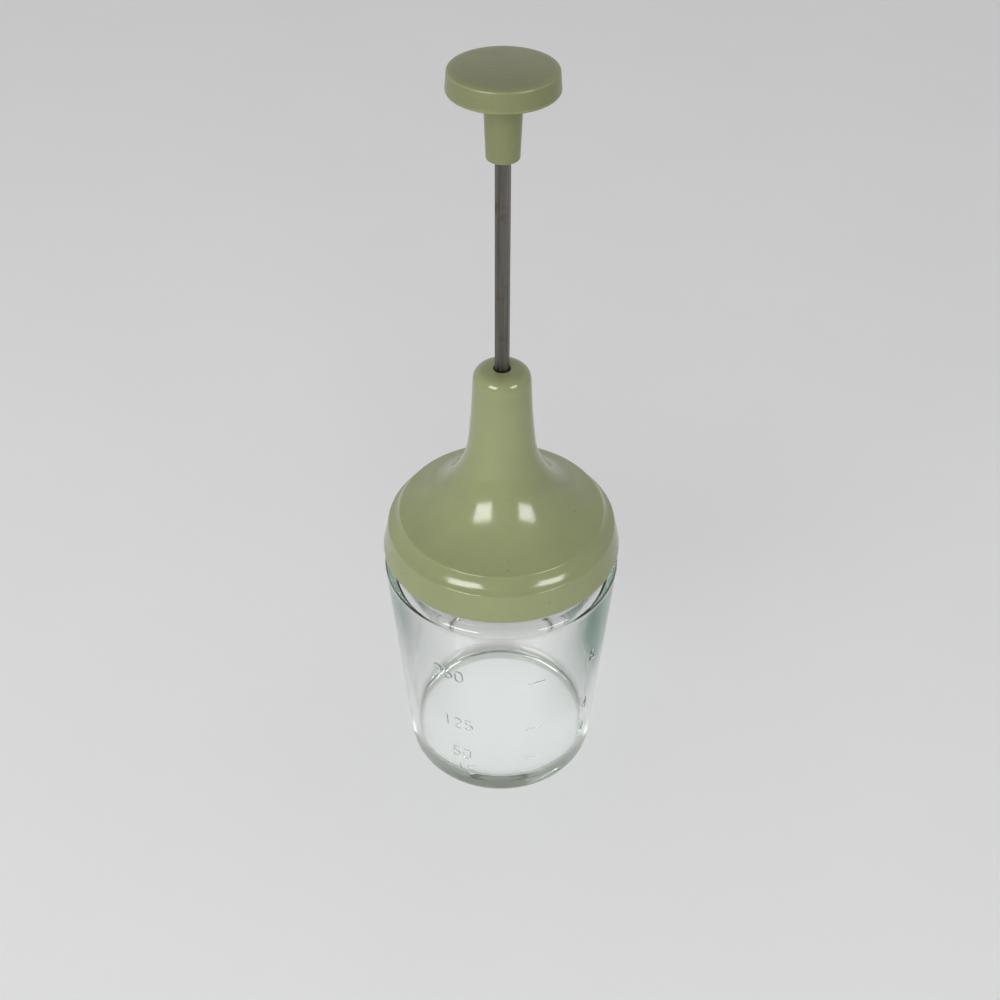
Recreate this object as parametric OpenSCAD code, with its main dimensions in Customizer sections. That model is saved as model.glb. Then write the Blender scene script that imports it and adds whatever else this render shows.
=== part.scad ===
// Push-plunger nut chopper: tapered glass jar, bell-shaped screw lid, sprung plunger with blades.
// Millimetres, +Z up. The origin is the middle of the jar's foot, on the table.
// The jar, the lid and the plunger share the Z axis. The front, with the volume marks, faces -Y.

/* [Jar] */
// Height of the jar from the table to its rim
jar_h = 111; // [102:1:122]
// Outer diameter that the jar's wall would have at the table
jar_base_d = 73.2; // [68:0.2:78]
// Outer diameter of the jar's wall at its shoulder
jar_top_d = 87; // [84:0.2:90]
// Thickness of the jar's wall
jar_wall = 3; // [2.4:0.1:3.6]
// Height of the jar's inner floor above the table
jar_floor = 8.9; // [7.2:0.1:10.6]
// Rounding of the jar's heel and of its inner floor corner
heel_r = 4; // [2.5:0.5:5]
// Hollow under the jar's foot
push_up = 1; // [0.4:0.1:1.6]
// Width of the ring that the jar stands on
foot_w = 7; // [4:0.5:10]
// Outer diameter of the jar's threaded neck
finish_d = 76.4; // [74:0.2:78]
// Height of the jar's threaded neck above the shoulder
finish_h = 11.2; // [10.8:0.2:14]
// Rounding of the jar's shoulder
shoulder_r = 3; // [2:0.2:4]
// Rounding of the jar's rim and of its neck's foot
lip_r = 0.8; // [0.4:0.1:1.1]

/* [Volume marks] */
// Marked volumes, in millilitres
mark_ml = [15, 50, 125, 250];
// Height of a mark's line
mark_w = 0.8; // [0.4:0.1:1.4]
// How far a mark stands out of the glass
mark_proud = 0.3; // [0.2:0.05:0.6]
// Angle that a mark covers around the jar
mark_angle = 9; // [4:1:14]
// Angle of the marks to the right of the front
mark_side = 14; // [0:1:40]

/* [Thread] */
// Rise of the lid in one full turn
thread_lead = 4; // [3.6:0.1:4.4]
// Turns of thread on the jar
jar_turns = 1; // [0.6:0.05:1]
// Turns of thread in the lid
lid_turns = 1; // [0.6:0.05:1]
// Height of a thread ridge from its root
thread_h = 1.3; // [0.9:0.05:1.5]
// Width of a thread ridge at its root
thread_w = 1.8; // [1.4:0.1:2]
// Gap between the two threads' flanks
thread_gap = 0.4; // [0.3:0.05:0.6]
// Gap between a ridge's tip and the opposite wall
tip_gap = 0.5; // [0.3:0.1:0.8]
// Height of the jar's thread above its neck's foot
thread_up = 4.5; // [4.2:0.05:4.7]
// Height of the lid's thread above the lid's rim
lid_thread_up = 0.35; // [0.2:0.05:0.8]

/* [Lid] */
// Thickness of the lid's wall
lid_wall = 2.4; // [1.8:0.1:2.8]
// Least reach of the lid's rim past the jar's shoulder
lid_overhang = 0.25; // [0:0.05:2]
// Height of the lid's skirt below the ledge that holds the guard
skirt_drop = 9; // [8.6:0.1:9.6]
// Height of the lid's skirt on the outside
skirt_h = 10.6; // [10:0.1:11.6]
// Thinning of the skirt's wall towards its top edge
skirt_draft = 1; // [0:0.1:1.2]
// Rounding of the skirt's two edges
skirt_round = 0.7; // [0.3:0.1:1]
// Width of the sloping band above the skirt
band_run = 4.25; // [3.5:0.05:5.5]
// Height of the sloping band above the skirt
band_rise = 5.55; // [4.5:0.05:6.5]
// Depth of the sloping band's hollow curve
band_dip = 0.5; // [0:0.05:0.8]
// Outer diameter of the lid's neck at its top
neck_top_d = 20.4; // [19.6:0.2:24]
// Outer diameter of the lid's neck where the bell begins
neck_base_d = 23.6; // [23:0.2:28]
// Length of the lid's neck above the bell
neck_len = 30.2; // [24:0.2:36]
// Rounding of the top of the lid's neck
neck_round = 4.5; // [2:0.5:5]
// Thickness of the neck's top around the rod
neck_roof = 2.4; // [1.8:0.1:3.2]
// Gap around the rod in the neck's hole
neck_gap = 0.3; // [0.2:0.05:0.5]
// Bevel around the neck's hole
hole_bevel = 0.5; // [0.2:0.1:0.8]

/* [Seal and spring guard] */
// Thickness of the sealing ring on the jar's rim
seal_t = 1; // [0.6:0.1:1.6]
// Thickness of the spring guard's sheet
guard_t = 1; // [0.6:0.1:1.2]
// Depth of the guard's bowl, from its flange's top to its floor's top
guard_depth = 15; // [12:0.5:17]
// Gap between the guard's bowl and the jar's mouth
guard_gap = 1.7; // [0.8:0.1:3]
// Gap between the guard's flange and the lid's skirt
flange_gap = 0.35; // [0.2:0.05:0.6]
// Narrowing of the guard's bowl from its flange to its floor
bowl_draft = 1; // [0.5:0.1:2]
// Rounding of the bowl's corner on the outside
bowl_round = 2; // [1.4:0.1:4]
// Height of the bead that holds the guard in the lid
bead_h = 0.9; // [0.6:0.1:1.1]
// Width of that bead's crest
bead_w = 0.7; // [0.4:0.1:1]
// Gap between that bead and the guard's flange
bead_gap = 0.1; // [0.05:0.05:0.3]
// Wall of the bush in the guard's floor
bush_wall = 1.9; // [1.4:0.1:2.6]
// Height of the bush's flange above the guard's floor
bush_flange = 1; // [0.6:0.1:1.2]
// Width of the bush's flange around its hole in the guard
bush_flange_w = 1.6; // [1:0.1:2.4]
// Height of the bush's lip below the guard's floor
bush_lip = 0.8; // [0.5:0.1:1.2]
// How far the bush's lip reaches under the guard's floor
bush_snap = 0.4; // [0.2:0.1:0.6]

/* [Plunger] */
// Width of the six-sided rod across its flats
rod_flats = 4.5; // [4:0.1:5]
// Turn of the plunger about its own axis at rest
rod_turn = 16; // [0:1:59]
// Running gap between the rod's corners and a bore
rod_gap = 0.06; // [0.03:0.01:0.1]
// Diameter of the two cross pins
pin_d = 1.8; // [1.4:0.1:2]
// Length of the pin above the spring cup
pin_len = 10; // [8:0.2:12]
// Gap between that pin and the neck's roof
pin_gap = 0.2; // [0.1:0.05:0.4]
// Diameter of the spring cup's flange
cup_d = 13.4; // [12.4:0.2:14]
// Thickness of the spring cup's flange
cup_t = 1; // [0.8:0.1:1.4]
// Height of the spring cup's spigot
spigot_h = 1.2; // [0.6:0.1:1.3]
// Wall of the spring cup's spigot
spigot_wall = 1.2; // [1:0.1:1.8]
// Height left between the guard's floor and the spring cup when pushed down
spring_shut = 2.7; // [2.5:0.1:4]
// Gap between the knob's stem and the lid's neck when pushed down
stop_gap = 0.5; // [0.3:0.1:2]
// Gap between the blades and the jar's floor when pushed down
floor_gap = 1; // [0.5:0.1:2]

/* [Return spring] */
// Diameter of the spring's wire
wire_d = 0.9; // [0.7:0.05:1]
// Turns of the spring
spring_turns = 7; // [5:0.5:8]
// Growth of the spring's radius in each turn
spring_step = 1.5; // [1.5:0.05:1.6]
// Gap between the spring's top turn and the cup's spigot
spring_clear = 0.15; // [0.1:0.05:0.3]
// Turns that lie flat at each end of the spring
flat_turns = 0.75; // [0.5:0.05:1]

/* [Knob] */
// Diameter of the knob's rim
knob_d = 34.1; // [28:0.1:40]
// Diameter of the knob's top edge
knob_top_d = 32.9; // [26:0.1:34]
// Height of the knob's side
knob_side = 6.6; // [4:0.1:10]
// Height of the knob's domed top above its edge
knob_dome = 0.8; // [0.4:0.1:3]
// Length of the knob's stem
stem_len = 21; // [16:0.5:26]
// Diameter of the stem's lower end
stem_d = 10.4; // [9.6:0.1:13]
// Diameter of the stem where it meets the knob
stem_top_d = 12.3; // [11:0.1:15]
// Bevel of the stem's lower edge
stem_bevel = 0.5; // [0.2:0.1:1]
// Depth of the rod's socket in the knob
socket_depth = 22; // [14:0.5:24]
// Depth of the ring-shaped hollow under the knob
knob_hollow = 3; // [1:0.2:4]
// Bevel at the top of that hollow
hollow_bevel = 1; // [0.4:0.1:1.6]
// Width of the knob's rim under its edge
knob_rim = 2.4; // [1.6:0.1:4]
// Rounding of the knob's two edges
knob_round = 0.8; // [0.4:0.1:1.2]

/* [Blades] */
// Height of a blade
blade_h = 9.5; // [8.6:0.1:11]
// Reach of a blade from the axis
blade_reach = 22; // [16:0.5:26]
// Thickness of a blade
blade_t = 0.9; // [0.6:0.1:1.2]
// Height of a blade's ground edge
edge_h = 1.8; // [1:0.1:3]
// Rounding of a blade's upper outer corner
blade_round = 3; // [1:0.5:5]
// Diameter of the blades' hub
hub_d = 15; // [13:0.5:18]
// Height of the blades' hub
hub_h = 9.5; // [8.5:0.5:10]
// Gap between the hub and the bush's lip at rest
hub_gap = 0.3; // [0.2:0.1:1]
// Height of the hub above the blades
hub_cover = 1; // [0.6:0.1:1.4]
// Bevel of the hub's two edges
hub_bevel = 1; // [0.4:0.1:1.6]
// Wall of the hub between the rod and a blade
hub_web = 0.9; // [0.6:0.1:1.4]
// Thickness of the hub's floor under the rod
hub_floor = 1.5; // [1:0.1:2.5]
// Depth of the hub's pin below the hub's top
hub_pin_depth = 3.5; // [2:0.1:5]
// How far the hub's pin ends inside the hub
hub_pin_inset = 0.5; // [0.2:0.1:1]

/* [Hidden] */
$fn = 128;
// How far a raised shape is rooted in its wall, and a cut runs past its face
embed = 0.5;
spill = 1;
// Steps of a large rounding, a small one and the bell
steps = 8;
small_steps = 4;
bell_steps = 20;
// Rings of a thread in one turn, the angle over which its ends fade, and how far they sink
thread_rings = 24;
thread_fade = 30;
thread_sink = 0.25;
// Rings of the spring's wire in one curl, and its sides
curl_rings = 8;
wire_sides = 6;

// Radii
base_r = jar_base_d / 2;
top_r = jar_top_d / 2;
finish_r = finish_d / 2;
mouth_r = finish_r - jar_wall;
skirt_in_r = finish_r + thread_h + tip_gap;
skirt_r = skirt_in_r + lid_wall;
lid_r = max(skirt_r, top_r + lid_overhang);
edge_r = skirt_r - skirt_draft;
crease_r = edge_r - band_run;
guard_r = skirt_in_r - flange_gap;
bowl_r = mouth_r - guard_gap;
rod_r = rod_flats / sqrt(3);
bore_r = rod_r + rod_gap;
bush_r = bore_r + bush_wall;
spigot_r = bore_r + spigot_wall;
spring_top_r = (spigot_r + spring_clear + wire_d / 2) / cos(180 / curl_rings);
spring_base_r = spring_top_r + spring_turns * spring_step;
hub_r = hub_d / 2;
blade_in_r = rod_r + hub_web;

// Heights, each resting on the one before
neck_foot_z = jar_h - finish_h;
shoulder_z = neck_foot_z - lip_r - shoulder_r;
flange_z = jar_h + seal_t;
ledge_z = flange_z + guard_t;
lid_z = ledge_z - skirt_drop;
edge_z = lid_z + skirt_h;
crease_z = edge_z + band_rise;
floor_top_z = ledge_z - guard_depth;
floor_low_z = floor_top_z - guard_t;
hub_top_z = floor_low_z - bush_lip - hub_gap;
hub_low_z = hub_top_z - hub_h;
blade_top_z = hub_top_z - hub_cover;
blade_low_z = blade_top_z - blade_h;
stroke = blade_low_z - jar_floor - floor_gap;
cup_low_z = floor_top_z + spring_shut + stroke;
cup_top_z = cup_low_z + cup_t;
cup_pin_z = cup_top_z + pin_d / 2;
roof_z = cup_top_z + pin_d + pin_gap;
neck_top_z = roof_z + neck_roof;
neck_base_z = neck_top_z - neck_len;
knob_z = neck_top_z + stroke + stop_gap;
rod_top_z = knob_z + socket_depth;
rod_low_z = hub_low_z + hub_floor;
hub_pin_z = hub_top_z - hub_pin_depth;

// Outer radius of the jar's wall at height z
function wall_r(z) = base_r + (top_r - base_r) * z / shoulder_z;

// Points of an arc about c, from angle a to angle b
function arc(c, r, a, b, n) =
    [for (i = [0:n]) let (t = a + (b - a) * i / n) [c[0] + r * cos(t), c[1] + r * sin(t)]];

// Points of a slightly bowed line from p to q, bulging by s to its right
function bowed(p, q, s, n) =
    let (d = q - p, w = [d[1], -d[0]] / norm(d))
    [for (i = [0:n]) let (t = i / n) p + d * t + w * 4 * s * t * (1 - t)];

// Height at which the jar holds a volume, from its inner cone
wall_slope = (top_r - base_r) / shoulder_z;
floor_r = wall_r(jar_floor) - jar_wall;
corner_ml = 2 * PI * floor_r * heel_r * heel_r * (1 - PI / 4) / 1000;
function mark_z(ml) =
    let (r = pow(pow(floor_r, 3) + 3 * wall_slope * (ml + corner_ml) * 1000 / PI, 1 / 3))
    jar_floor + (r - floor_r) / wall_slope;

// A closed solid through a row of rings of points
module sweep(rings) {
    n = len(rings);
    m = len(rings[0]);
    points = [for (ring = rings) each ring];
    start = [for (j = [1:m - 2]) [0, j + 1, j]];
    sides = [for (i = [0:n - 2], j = [0:m - 1], k = [0, 1])
        let (a = i * m + j, b = i * m + (j + 1) % m)
        k == 0 ? [a, b + m, a + m] : [a, b, b + m]];
    end = [for (j = [1:m - 2]) [0, j, j + 1] + (n - 1) * m * [1, 1, 1]];
    polyhedron(points, concat(start, sides, end));
}

// A thread ridge on the radius r, standing out by way * thread_h, from height z at angle turn
module thread_ridge(r, way, z, turn, turns) {
    n = ceil(turns * thread_rings);
    wide = thread_w / 2;
    fine = thread_w / 4;
    rings = [for (i = [0:n])
        let (a = 360 * turns * i / n,
            fade = min(1, a / thread_fade, (360 * turns - a) / thread_fade),
            tip = r + way * (thread_h * fade - thread_sink * (1 - fade)),
            root = r - way * embed,
            h = z + thread_lead * a / 360,
            flank = fine + (wide - fine) * (1 - fade),
            ring = [[root, -wide], [tip, -flank], [tip, flank], [root, wide]])
        [for (p = way > 0 ? ring : [ring[3], ring[2], ring[1], ring[0]])
            [p[0] * cos(a + turn), p[0] * sin(a + turn), h + p[1]]]];
    sweep(rings);
}

// The lid's thread lies just under the jar's, one flank gap away
flank_lean = atan2(thread_w / 4, thread_h);
thread_mesh = thread_w * 3 / 4 - (tip_gap / thread_h) * thread_w / 4 + thread_gap / cos(flank_lean);
jar_thread_z = neck_foot_z + thread_w / 2 + thread_up;
lid_thread_z = lid_z + thread_w / 2 + lid_thread_up;
lid_thread_turn = (lid_thread_z + thread_mesh - jar_thread_z) / thread_lead * 360;

foot_r = base_r - heel_r - foot_w;
jar_outer = concat(
    [[0, push_up], [foot_r - push_up, push_up], [foot_r, 0]],
    arc([wall_r(heel_r) - heel_r, heel_r], heel_r, -90, 0, steps),
    arc([top_r - shoulder_r, shoulder_z], shoulder_r, 0, 90, steps),
    arc([finish_r + lip_r, neck_foot_z], lip_r, 270, 180, small_steps),
    arc([finish_r - lip_r, jar_h - lip_r], lip_r, 0, 90, small_steps));

// Inside, the wall turns in under the shoulder and slants up to the mouth
inner_shoulder_z = shoulder_z - jar_wall / 2;
inner_turn = 50;
bore_foot_z = shoulder_z + shoulder_r - lip_r;
jar_inner = concat(
    arc([mouth_r + lip_r, jar_h - lip_r], lip_r, 90, 180, small_steps),
    [[mouth_r, bore_foot_z]],
    arc([wall_r(inner_shoulder_z) - jar_wall - shoulder_r, inner_shoulder_z], shoulder_r,
        inner_turn, 0, steps),
    arc([wall_r(jar_floor + heel_r) - jar_wall - heel_r, jar_floor + heel_r], heel_r, 0, -90, steps),
    [[0, jar_floor]]);

module glass_jar() {
    color([0.86, 0.92, 0.88, 0.35]) {
        rotate_extrude() polygon(concat(jar_outer, jar_inner));
        thread_ridge(finish_r, 1, jar_thread_z, 0, jar_turns);
        for (ml = mark_ml)
            rotate([0, 0, mark_side - 90])
                rotate_extrude(angle = mark_angle)
                    translate([wall_r(mark_z(ml)) - embed, mark_z(ml) - mark_w / 2])
                        square([embed + mark_proud, mark_w]);
    }
}

// The bell is one arc that leaves the neck's side smoothly and ends at the upper crease
neck_lean = atan2((neck_base_d - neck_top_d) / 2, neck_len - neck_round);
neck_foot = [neck_base_d / 2, neck_base_z];
crease = [crease_r, crease_z];
edge = [edge_r, edge_z];
band_from = edge + skirt_round * (crease - edge) / norm(crease - edge);
neck_out = [cos(neck_lean), sin(neck_lean)];
bell_d = crease - neck_foot;
bell_r = (bell_d * bell_d) / (2 * bell_d * neck_out);
bell_c = neck_foot + bell_r * neck_out;
bell_from = 180 + neck_lean;
bell_to = 360 + atan2(crease[1] - bell_c[1], crease[0] - bell_c[0]);
neck_hole_r = rod_r + neck_gap;
neck_in_top = neck_top_d / 2 - lid_wall / cos(neck_lean);
roof_turn = 75;
bead_top_z = flange_z - bead_gap;

module lid() {
    bell = arc(bell_c, bell_r, bell_from, bell_to, bell_steps);
    inner_bell = arc(bell_c, bell_r + lid_wall, bell_from, bell_to, bell_steps);
    outer = concat(
        [[skirt_in_r, lid_z]],
        arc([lid_r - skirt_round, lid_z + skirt_round], skirt_round, -90, 0, small_steps),
        [[edge_r, edge_z - skirt_round]],
        bowed(band_from, crease, -band_dip, steps),
        [for (i = [bell_steps - 1:-1:1]) bell[i]],
        [neck_foot],
        arc([neck_top_d / 2 - neck_round, neck_top_z - neck_round], neck_round, 0, roof_turn, steps),
        [[neck_hole_r + hole_bevel, neck_top_z], [neck_hole_r, neck_top_z - hole_bevel]]);
    inner = concat(
        [[neck_hole_r, roof_z], [neck_in_top, roof_z]],
        inner_bell,
        [[inner_bell[bell_steps][0], ledge_z], [skirt_in_r, ledge_z], [skirt_in_r, bead_top_z],
            [skirt_in_r - bead_h, bead_top_z], [skirt_in_r - bead_h, bead_top_z - bead_w],
            [skirt_in_r, bead_top_z - bead_w - bead_h]]);
    color([0.56, 0.59, 0.43]) {
        rotate_extrude() polygon(concat(outer, inner));
        thread_ridge(skirt_in_r, -1, lid_thread_z, lid_thread_turn, lid_turns);
    }
}

module lid_seal() {
    color([0.78, 0.76, 0.7])
        rotate_extrude()
            translate([mouth_r + lip_r, jar_h])
                square([jar_wall - 2 * lip_r, seal_t]);
}

module spring_guard() {
    corner = [bowl_r - bowl_draft - bowl_round, floor_low_z + bowl_round];
    color([0.75, 0.76, 0.77])
        rotate_extrude()
            polygon(concat(
                [[bush_r, floor_low_z]],
                arc(corner, bowl_round, -90, 0, steps),
                [[bowl_r, flange_z], [guard_r, flange_z], [guard_r, ledge_z], [bowl_r - guard_t, ledge_z]],
                arc(corner, bowl_round - guard_t, 0, -90, steps),
                [[bush_r, floor_top_z]]));
}

module guide_bush() {
    color([0.9, 0.89, 0.85])
        rotate_extrude()
            polygon([[bore_r, floor_low_z - bush_lip], [bush_r - bush_snap, floor_low_z - bush_lip],
                [bush_r + bush_snap, floor_low_z], [bush_r, floor_low_z], [bush_r, floor_top_z],
                [bush_r + bush_flange_w, floor_top_z],
                [bush_r + bush_flange_w, floor_top_z + bush_flange],
                [bore_r, floor_top_z + bush_flange]]);
}

// The spring's centre line: flat end turns and an even rise between them
spring_n = spring_turns * curl_rings;
spring_lift = cup_low_z - floor_top_z - wire_d;
function spring_point(i) =
    let (turn = i / curl_rings,
        rise = (turn - flat_turns) / (spring_turns - 2 * flat_turns),
        r = spring_base_r - spring_step * turn,
        z = floor_top_z + wire_d / 2 + spring_lift * max(0, min(1, rise)))
    [r * cos(360 * turn), r * sin(360 * turn), z];
spring_path = [for (i = [0:spring_n]) spring_point(i)];

// Least gap of the spring to itself, over its ring centres and the middles between them
spring_mids = [for (i = [0:spring_n - 1]) (spring_path[i] + spring_path[i + 1]) / 2];
spring_gap = min([for (i = [0:spring_n - 1], j = [i + curl_rings / 2:1:spring_n - 1])
    min(norm(spring_mids[i] - spring_mids[j]), norm(spring_path[i] - spring_path[j]))]) - wire_d;
echo(spring_gap = spring_gap, stroke = stroke, neck_top = neck_top_z, knob_foot = knob_z);

module return_spring() {
    color([0.62, 0.63, 0.64])
        sweep([for (i = [0:spring_n])
            let (c = spring_path[i], a = 360 * i / curl_rings)
            [for (k = [0:wire_sides - 1]) let (t = 90 + 360 * k / wire_sides)
                [c[0] + cos(a) * cos(t) * wire_d / 2, c[1] + sin(a) * cos(t) * wire_d / 2,
                    c[2] + sin(t) * wire_d / 2]]]);
}

module spring_cup() {
    color([0.66, 0.67, 0.68])
        rotate_extrude()
            polygon([[bore_r, cup_low_z - spigot_h], [spigot_r, cup_low_z - spigot_h],
                [spigot_r, cup_low_z], [cup_d / 2, cup_low_z], [cup_d / 2, cup_top_z],
                [bore_r, cup_top_z]]);
}

// A round pin of this length across the rod at height z
module cross_pin(z, len) {
    rotate([0, 0, rod_turn])
        translate([0, 0, z])
            rotate([90, 0, 0])
                cylinder(d = pin_d, h = len, center = true);
}

module hex_rod(low, high) {
    rotate([0, 0, rod_turn])
        translate([0, 0, low])
            cylinder(r = rod_r, h = high - low, $fn = 6);
}

module cup_pin() {
    color([0.7, 0.71, 0.72]) cross_pin(cup_pin_z, pin_len);
}

module plunger_rod() {
    color([0.4, 0.4, 0.4])
        difference() {
            hex_rod(rod_low_z, rod_top_z);
            cross_pin(cup_pin_z, pin_len + spill);
            cross_pin(hub_pin_z, hub_d + spill);
        }
}

module knob() {
    rim_z = knob_z + stem_len;
    hollow_z = rim_z + knob_hollow;
    rim_in_r = knob_d / 2 - knob_rim;
    top_edge = [knob_top_d / 2, rim_z + knob_side];
    round_c = top_edge - knob_round * [1, 1];
    round_turn = 80;
    dome_r = (knob_top_d * knob_top_d / 4 + knob_dome * knob_dome) / (2 * knob_dome);
    dome_z = top_edge[1] + knob_dome - dome_r;
    dome_from = acos(round_c[0] / dome_r);
    color([0.54, 0.56, 0.4])
        difference() {
            rotate_extrude()
                polygon(concat(
                    [[0, knob_z], [stem_d / 2 - stem_bevel, knob_z], [stem_d / 2, knob_z + stem_bevel],
                        [stem_top_d / 2, hollow_z - hollow_bevel],
                        [stem_top_d / 2 + hollow_bevel, hollow_z],
                        [rim_in_r - hollow_bevel, hollow_z], [rim_in_r, rim_z]],
                    arc([knob_d / 2 - knob_round, rim_z + knob_round], knob_round, -90, 0, small_steps),
                    arc(round_c, knob_round, 0, round_turn, small_steps),
                    arc([0, dome_z], dome_r, dome_from, 90, steps)));
            hex_rod(knob_z - spill, rod_top_z);
        }
}

module blade_hub() {
    color([0.16, 0.16, 0.16])
        difference() {
            rotate_extrude()
                polygon([[0, hub_low_z], [hub_r - hub_bevel, hub_low_z], [hub_r, hub_low_z + hub_bevel],
                    [hub_r, hub_top_z - hub_bevel], [hub_r - hub_bevel, hub_top_z], [0, hub_top_z]]);
            hex_rod(rod_low_z, hub_top_z + spill);
            cross_pin(hub_pin_z, hub_d + spill);
            for (k = [0:3]) blade_slot(k);
        }
}

module hub_pin() {
    color([0.7, 0.71, 0.72]) cross_pin(hub_pin_z, hub_d - 2 * hub_pin_inset);
}

// The blades stand between the pins' ends, a quarter turn apart
module blade_turn(k) {
    rotate([0, 0, rod_turn + 45 + 90 * k]) children();
}

module blade_slot(k) {
    blade_turn(k)
        translate([blade_in_r, -blade_t / 2, hub_low_z - spill])
            cube([hub_r, blade_t, blade_top_z - hub_low_z + spill]);
}

// Blade k: a flat plate with a ground lower edge and a rounded upper outer corner
module blade(k) {
    outline = concat(
        [[blade_in_r, blade_top_z], [blade_in_r, blade_low_z], [blade_reach, blade_low_z]],
        arc([blade_reach - blade_round, blade_top_z - blade_round], blade_round, 0, 90, steps));
    color([0.78, 0.79, 0.8])
        blade_turn(k)
            intersection() {
                translate([0, blade_t / 2, 0])
                    rotate([90, 0, 0])
                        linear_extrude(blade_t) polygon(outline);
                rotate([90, 0, 90])
                    linear_extrude(blade_reach + spill)
                        polygon([[0, blade_low_z], [blade_t / 2, blade_low_z + edge_h],
                            [blade_t / 2, blade_top_z], [-blade_t / 2, blade_top_z],
                            [-blade_t / 2, blade_low_z + edge_h]]);
            }
}

module blade_1() { blade(0); }
module blade_2() { blade(1); }
module blade_3() { blade(2); }
module blade_4() { blade(3); }

glass_jar();
lid();
lid_seal();
spring_guard();
guide_bush();
return_spring();
spring_cup();
cup_pin();
plunger_rod();
knob();
blade_hub();
hub_pin();
blade_1();
blade_2();
blade_3();
blade_4();
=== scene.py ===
import math

import bmesh
import bpy
from bpy.props import FloatProperty, FloatVectorProperty, PointerProperty
from mathutils import Matrix, Vector


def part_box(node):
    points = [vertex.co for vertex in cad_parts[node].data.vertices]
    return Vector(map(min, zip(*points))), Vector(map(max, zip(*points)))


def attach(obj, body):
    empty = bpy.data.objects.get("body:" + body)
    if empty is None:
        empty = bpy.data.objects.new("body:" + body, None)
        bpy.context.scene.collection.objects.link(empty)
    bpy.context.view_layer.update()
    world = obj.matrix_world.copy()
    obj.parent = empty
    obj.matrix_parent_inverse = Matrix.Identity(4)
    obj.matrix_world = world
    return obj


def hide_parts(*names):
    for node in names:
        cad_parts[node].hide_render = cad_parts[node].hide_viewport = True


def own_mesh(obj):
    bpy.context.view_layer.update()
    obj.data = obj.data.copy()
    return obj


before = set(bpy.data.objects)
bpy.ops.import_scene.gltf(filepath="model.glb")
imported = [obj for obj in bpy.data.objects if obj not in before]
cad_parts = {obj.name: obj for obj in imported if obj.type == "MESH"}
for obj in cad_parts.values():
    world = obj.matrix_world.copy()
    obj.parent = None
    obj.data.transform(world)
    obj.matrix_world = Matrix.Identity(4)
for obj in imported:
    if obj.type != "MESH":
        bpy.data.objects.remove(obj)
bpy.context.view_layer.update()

bl_info = {
    "name": "Push-Plunger Nut Chopper",
    "version": (1, 0, 0),
    "blender": (4, 5, 0),
    "location": "3D View > Sidebar > Chopper",
    "description": "Models a nut chopper: a marked glass jar, a bell-shaped lid and a sprung plunger",
    "category": "Add Mesh",
}

FULL_TURN = 2 * math.pi
# Profiles are drawn in millimetres, as radius and height, and the scene is in metres
MM = 0.001
SPIN_STEPS = 160
MERGE = 0.002 * MM
SMOOTH_ANGLE = math.radians(32)


def low_z(node):
    """Height of a CAD node's lowest point, in millimetres."""
    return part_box(node)[0].z / MM


def high_z(node):
    """Height of a CAD node's highest point, in millimetres."""
    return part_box(node)[1].z / MM


def length(name, description, millimetres):
    """A length property with its default in millimetres."""
    return FloatProperty(
        name=name, description=description, default=millimetres * MM, min=0,
        subtype="DISTANCE", unit="LENGTH", precision=5)


def colour(name, description, default):
    """A colour property."""
    return FloatVectorProperty(
        name=name, description=description, default=default, size=3, min=0, max=1, subtype="COLOR")


class JarSettings(bpy.types.PropertyGroup):
    """Sizes and colour of the glass jar."""
    wall: length("Wall", "Thickness of the glass wall", 3)
    floor: length("Floor", "Height of the inner floor above the table", 8.9)
    heel: length("Heel", "Rounding of the heel", 4)
    bowl: length("Bowl", "Rounding inside, where the wall meets the floor", 2.5)
    mark_depth: length("Mark Depth", "How far the lines and numbers stand out of the glass", 0.3)
    number_height: length("Number Height", "Height of the volume numbers", 5.8)
    stroke: length("Stroke", "Width of the lines that draw the numbers", 0.7)
    tint: colour("Tint", "Colour that thick glass takes on", (0.42, 0.74, 0.58))
    edge_tint: colour("Edge Tint", "Colour of the glass seen along its wall", (0.05, 0.13, 0.085))
    tint_density: FloatProperty(
        name="Tint Density", description="How fast the glass takes on its tint", default=5, min=0)


class LidSettings(bpy.types.PropertyGroup):
    """Sizes and colour of the lid."""
    wall: length("Wall", "Thickness of the lid's wall", 2.4)
    crease: length("Crease", "Rounding of the two creases round the lid", 0.9)
    hollow: length("Hollow", "Depth of the hollow band between the creases", 0.55)
    shade: colour("Colour", "Colour of the lid's plastic", (0.285, 0.315, 0.150))


class PlungerSettings(bpy.types.PropertyGroup):
    """Sizes and colours of the knob, rod and spring."""
    rod_flats: length("Rod", "Width of the six-sided rod across its flats", 4.5)
    rod_edge: length("Rod Edge", "Bevel of the rod's long edges", 0.12)
    wire: length("Wire", "Diameter of the spring's wire", 0.9)
    knob_shade: colour("Knob Colour", "Colour of the knob's plastic", (0.203, 0.219, 0.094))
    rod_shade: colour("Rod Colour", "Colour of the rod's steel", (0.14, 0.13, 0.118))


class StageSettings(bpy.types.PropertyGroup):
    """Light, floor and camera."""
    floor_shade: colour("Floor", "Colour of the floor", (0.9, 0.9, 0.905))
    window_light: FloatProperty(
        name="Windows", description="Brightness of the two windows", default=10, min=0)
    softbox_light: FloatProperty(
        name="Softbox", description="Brightness of the large soft light", default=2.4, min=0)
    sky_light: FloatProperty(
        name="Sky", description="Brightness of the light from all round", default=0.6, min=0)
    lens: FloatProperty(
        name="Lens", description="Focal length of the camera, in millimetres", default=48.63, min=10)


def arc(centre, radius, first, last, steps):
    """Points of an arc, from one angle in degrees to another."""
    points = []
    for i in range(steps + 1):
        turn = math.radians(first + (last - first) * i / steps)
        points.append((centre[0] + radius * math.cos(turn), centre[1] + radius * math.sin(turn)))
    return points


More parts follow.
